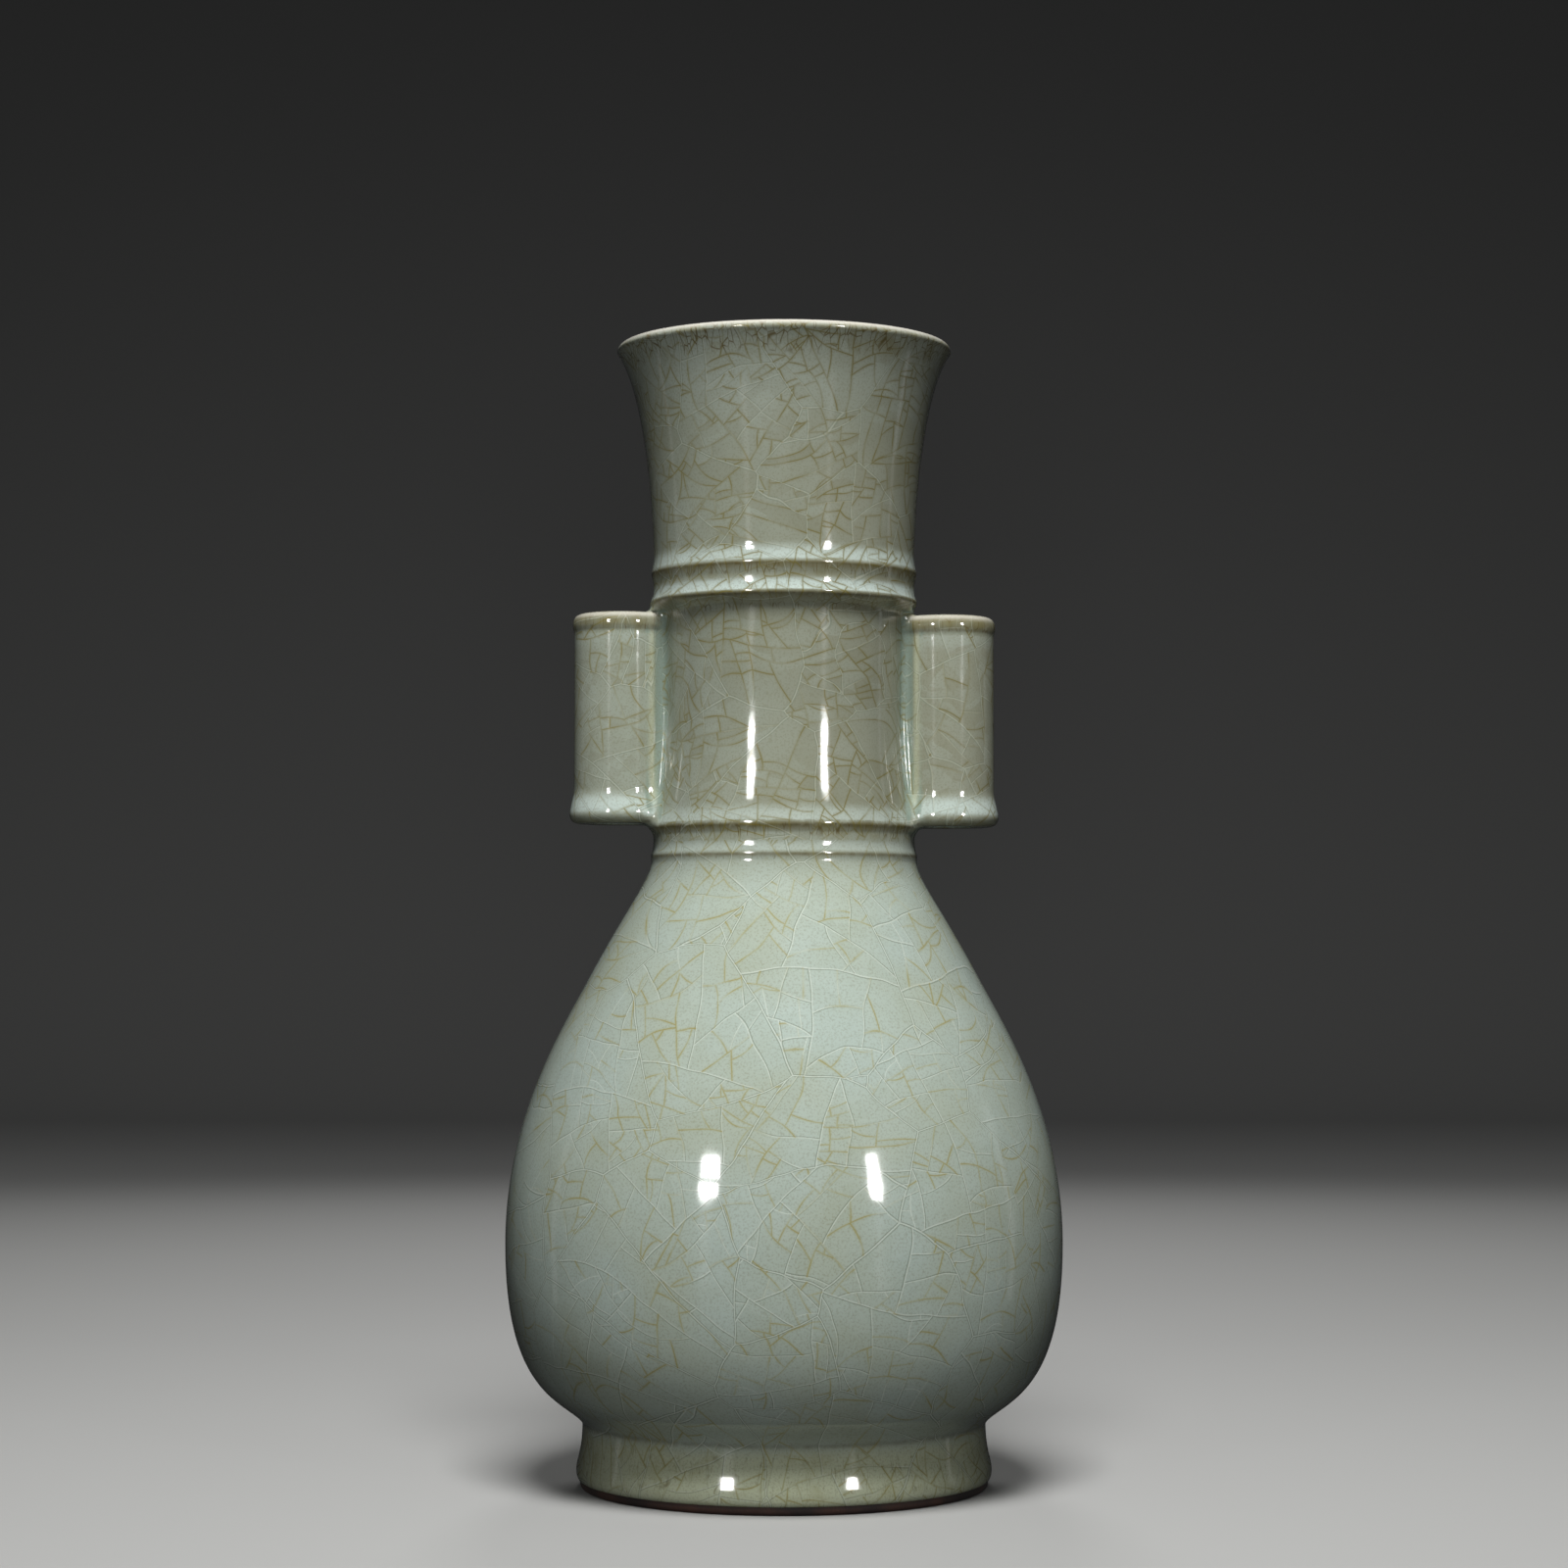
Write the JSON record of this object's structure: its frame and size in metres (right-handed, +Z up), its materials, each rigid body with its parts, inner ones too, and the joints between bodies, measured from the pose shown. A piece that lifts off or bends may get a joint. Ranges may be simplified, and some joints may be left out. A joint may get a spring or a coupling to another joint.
{
  "type": "pierced-handle vase",
  "caption": "Tall pear-bodied celadon vase with a trumpet mouth, a ribbed neck and upright pierced tube handles on either side.",
  "frame": {"origin": "centre of the foot on the surface that the vase stands on", "axes": "+Z up along the vase's axis, handles on -X and +X, front of the picture towards -Y"},
  "size_m": [0.1468, 0.1468, 0.3016],
  "materials": {
    "foot_glaze": "glossy crackled celadon glaze, with a bare reddish-brown rim under it",
    "body_glaze": "glossy crackled celadon glaze",
    "neck_glaze": "glossy crackled celadon glaze, thin on the ribs and lip",
    "handle_glaze": "glossy crackled celadon glaze, thin on the edges",
    "pooled_glaze": "glossy celadon glaze pooled thick and blue-green"
  },
  "bodies": {
    "root": {"foot_ring": "foot_glaze", "lower_body": "body_glaze", "upper_body": "body_glaze", "neck_barrel": "neck_glaze", "mouth_section": "neck_glaze", "left_handle": "handle_glaze", "left_luting_clay": "pooled_glaze", "right_handle": "handle_glaze", "right_luting_clay": "pooled_glaze"}
  },
  "joints": []
}
